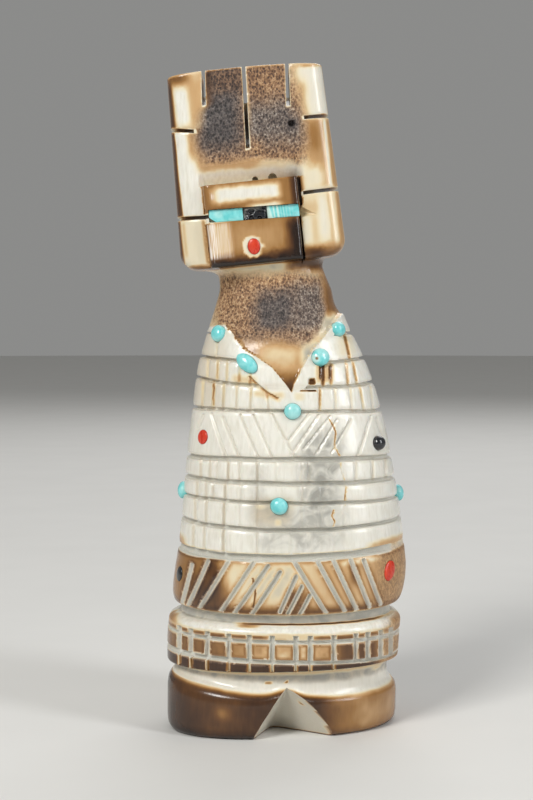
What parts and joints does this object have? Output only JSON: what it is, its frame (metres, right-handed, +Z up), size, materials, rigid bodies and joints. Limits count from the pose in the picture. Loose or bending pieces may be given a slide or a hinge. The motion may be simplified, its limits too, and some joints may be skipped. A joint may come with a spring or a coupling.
{
  "type": "fetish carving",
  "caption": "Small standing maiden carved from antler, with a slotted tablet head-dress, a grooved dress and inlaid turquoise, coral and jet.",
  "frame": {"origin": "on the flat underside, under the middle of the antler", "axes": "+Z up the figure, the face towards -Y, +X to the right of someone who looks at the face"},
  "size_m": [0.027, 0.0193, 0.0739],
  "materials": {
    "antler": null,
    "turquoise": "polished blue-green turquoise",
    "coral": "polished red coral",
    "jet": "polished black jet, chipped between the eyes"
  },
  "bodies": {
    "root": {"antler_carving": "antler", "face_left_turquoise": "turquoise", "face_centre_jet": "jet", "face_right_turquoise": "turquoise", "mouth_coral": "coral", "neckline_turquoise_1": "turquoise", "neckline_turquoise_2": "turquoise", "neckline_turquoise_3": "turquoise", "neckline_turquoise_4": "turquoise", "neckline_turquoise_5": "turquoise", "waist_turquoise_front": "turquoise", "waist_turquoise_left": "turquoise", "waist_turquoise_right": "turquoise", "dress_coral_left": "coral", "dress_jet_right": "jet", "hem_jet_left": "jet", "hem_coral_right": "coral"}
  },
  "joints": []
}
